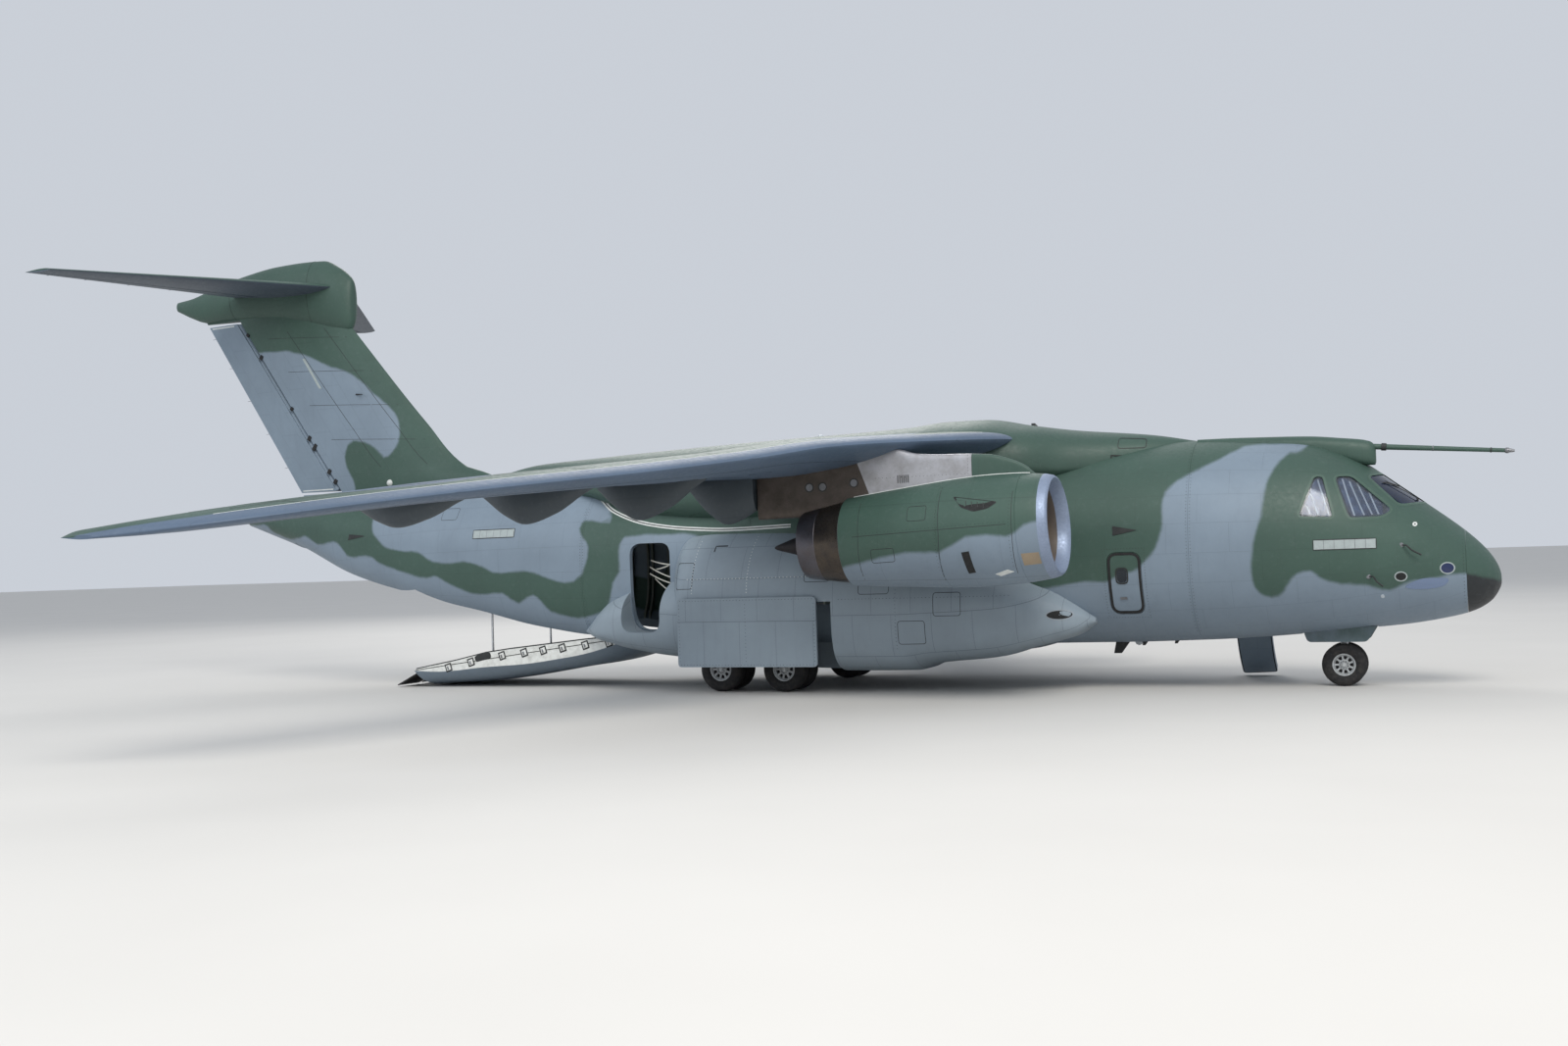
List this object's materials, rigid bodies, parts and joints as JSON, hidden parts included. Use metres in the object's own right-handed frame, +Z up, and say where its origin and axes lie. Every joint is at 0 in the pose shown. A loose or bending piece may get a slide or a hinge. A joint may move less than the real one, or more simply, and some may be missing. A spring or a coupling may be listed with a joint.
{
  "type": "military transport plane",
  "caption": "High-wing military transport plane with underslung engines, a raised tailplane and a lowered cargo ramp, parked on its gear",
  "frame": {"origin": "on the ground, midway between the probe's tip and the tail's end, on the plane's middle line", "axes": "+X forward to the nose, +Y to the left wing tip, +Z up; the tyres stand at Z 0"},
  "size_m": [35.5326, 35.05, 11.8431],
  "materials": {
    "green_paint": "matt dark green and blue-grey camouflage paint",
    "grey_paint": "matt light blue-grey paint",
    "radome_paint": "matt very dark green coating",
    "cabin_paint": "matt interior paint",
    "glazing": "clear, slightly blue",
    "nozzle_metal": "heat-stained bare metal",
    "fan_metal": "satin metal",
    "gear_paint": "satin light grey",
    "ramp_wear": "worn dark grey",
    "tyre": "black tyre"
  },
  "bodies": {
    "root": {"exit_door": "green_paint", "fuselage_nose": "green_paint", "fuselage_center": "green_paint", "fuselage_aft": "green_paint", "fuselage_tail": "green_paint", "wing_body_fairing": "green_paint", "refuelling_probe": "green_paint", "nacelle_left": "green_paint", "nacelle_right": "green_paint", "fin": "green_paint", "tail_bullet": "green_paint", "paratroop_door_left": "grey_paint", "paratroop_door_right": "grey_paint", "wing_left": "grey_paint", "wing_right": "grey_paint", "flap_left": "grey_paint", "flap_right": "grey_paint", "sponson_left": "grey_paint", "sponson_right": "grey_paint", "nose_gear_door_left": "grey_paint", "nose_gear_door_right": "grey_paint", "tailplane": "grey_paint", "pylon_left": "grey_paint", "pylon_right": "grey_paint", "radome": "radome_paint", "cargo_floor": "cabin_paint", "cockpit_deck": "cabin_paint", "cockpit_glazing_left": "glazing", "cockpit_glazing_right": "glazing", "exhaust_nozzle_left": "nozzle_metal", "exhaust_nozzle_right": "nozzle_metal", "engine_core_left": "nozzle_metal", "engine_core_right": "nozzle_metal", "main_gear_legs_left": "gear_paint", "main_gear_legs_right": "gear_paint", "nose_gear_leg": "gear_paint"},
    "ramp": {"cargo_ramp": "green_paint"},
    "toe": {"ramp_toe": "ramp_wear"},
    "upper_door": {"upper_cargo_door": "grey_paint"},
    "crew_door": {"crew_door": "cabin_paint"},
    "ramp_rod_left": {"ramp_rod_left": "gear_paint"},
    "ramp_rod_right": {"ramp_rod_right": "gear_paint"},
    "gear_door_left": {"main_gear_door_left": "grey_paint"},
    "gear_door_right": {"main_gear_door_right": "grey_paint"},
    "front_wheels_left": {"main_wheels_front_left": "tyre"},
    "front_wheels_right": {"main_wheels_front_right": "tyre"},
    "rear_wheels_left": {"main_wheels_rear_left": "tyre"},
    "rear_wheels_right": {"main_wheels_rear_right": "tyre"},
    "nose_steering": {"nose_gear_steering": "gear_paint"},
    "nose_wheels": {"nose_wheels": "tyre"},
    "fan_left": {"fan_left": "fan_metal"},
    "fan_right": {"fan_right": "fan_metal"},
    "aileron_left": {"aileron_left": "grey_paint"},
    "aileron_right": {"aileron_right": "grey_paint"},
    "rudder": {"rudder": "grey_paint"},
    "elevator_left": {"elevator_left": "grey_paint"},
    "elevator_right": {"elevator_right": "grey_paint"}
  },
  "joints": [
    {"name": "ramp_hinge", "type": "hinge", "parent": "root", "child": "ramp", "pos_m": [-1.665, 0, 1], "axis": [0, 1, 0], "range_deg": [0, 17.7]},
    {"name": "toe_hinge", "type": "hinge", "parent": "ramp", "child": "toe", "pos_m": [-8.3887, 0, 0.3763], "axis": [0, 1, 0], "range_deg": [0, 28]},
    {"name": "upper_door_hinge", "type": "hinge", "parent": "root", "child": "upper_door", "pos_m": [-12.865, 0, 3.8136], "axis": [0, 1, 0], "range_deg": [0, 24]},
    {"name": "crew_door_hinge", "type": "hinge", "parent": "root", "child": "crew_door", "pos_m": [12.305, 1.53, 1.5], "axis": [1, 0, 0], "range_deg": [0, 122]},
    {"name": "ramp_rod_slide_left", "type": "slide", "parent": "root", "child": "ramp_rod_left", "axis": [0, 0, 1], "range_m": [0, 1.395]},
    {"name": "gear_door_hinge_left", "type": "hinge", "parent": "root", "child": "gear_door_left", "pos_m": [1.815, 3.13, 2.16], "axis": [1, 0, 0], "range_deg": [0, 70]},
    {"name": "front_wheels_spin_left", "type": "hinge", "parent": "root", "child": "front_wheels_left", "pos_m": [2.415, 1.96, 0.512], "axis": [0, 1, 0], "continuous": true},
    {"name": "rear_wheels_spin_left", "type": "hinge", "parent": "root", "child": "rear_wheels_left", "pos_m": [0.815, 1.96, 0.512], "axis": [0, 1, 0], "continuous": true},
    {"name": "ramp_rod_slide_right", "type": "slide", "parent": "root", "child": "ramp_rod_right", "axis": [0, 0, 1], "range_m": [0, 1.395]},
    {"name": "gear_door_hinge_right", "type": "hinge", "parent": "root", "child": "gear_door_right", "pos_m": [1.815, -3.13, 2.16], "axis": [-1, 0, 0], "range_deg": [0, 70]},
    {"name": "front_wheels_spin_right", "type": "hinge", "parent": "root", "child": "front_wheels_right", "pos_m": [2.415, -1.96, 0.512], "axis": [0, 1, 0], "continuous": true},
    {"name": "rear_wheels_spin_right", "type": "hinge", "parent": "root", "child": "rear_wheels_right", "pos_m": [0.815, -1.96, 0.512], "axis": [0, 1, 0], "continuous": true},
    {"name": "nose_steering", "type": "hinge", "parent": "root", "child": "nose_steering", "pos_m": [14.355, 0, 0.445], "axis": [0, 0, 1], "range_deg": [-70, 70]},
    {"name": "nose_wheels_spin", "type": "hinge", "parent": "nose_steering", "child": "nose_wheels", "pos_m": [14.355, 0, 0.445], "axis": [0, 1, 0], "continuous": true},
    {"name": "fan_spin_left", "type": "hinge", "parent": "root", "child": "fan_left", "pos_m": [9.465, 4.7, 3.52], "axis": [0.9991, 0, 0.0419], "continuous": true},
    {"name": "aileron_hinge_left", "type": "hinge", "parent": "root", "child": "aileron_left", "pos_m": [-0.6879, 12.96, 4.3415], "axis": [-0.3708, 0.9214, -0.1158], "range_deg": [-25, 25]},
    {"name": "fan_spin_right", "type": "hinge", "parent": "root", "child": "fan_right", "pos_m": [9.465, -4.7, 3.52], "axis": [0.9991, 0, 0.0419], "continuous": true},
    {"name": "aileron_hinge_right", "type": "hinge", "parent": "root", "child": "aileron_right", "pos_m": [-0.6879, -12.96, 4.3415], "axis": [-0.3708, -0.9214, -0.1158], "range_deg": [-25, 25]},
    {"name": "rudder_hinge", "type": "hinge", "parent": "root", "child": "rudder", "pos_m": [-12.025, 0, 5.33], "axis": [-0.5691, 0, 0.8223], "range_deg": [-25, 25]},
    {"name": "elevator_hinge_left", "type": "hinge", "parent": "root", "child": "elevator_left", "pos_m": [-14.3416, 0.64, 11.0019], "axis": [-0.324, 0.946, -0.0118], "range_deg": [-20, 20]},
    {"name": "elevator_hinge_right", "type": "hinge", "parent": "root", "child": "elevator_right", "pos_m": [-14.3416, -0.64, 11.0019], "axis": [-0.324, -0.946, -0.0118], "range_deg": [-20, 20]}
  ],
  "couplings": [
    {"joint": "ramp_rod_slide_left", "follows": "ramp_hinge", "m_per_rad": 4.5155},
    {"joint": "ramp_rod_slide_right", "follows": "ramp_hinge", "m_per_rad": 4.5155}
  ]
}
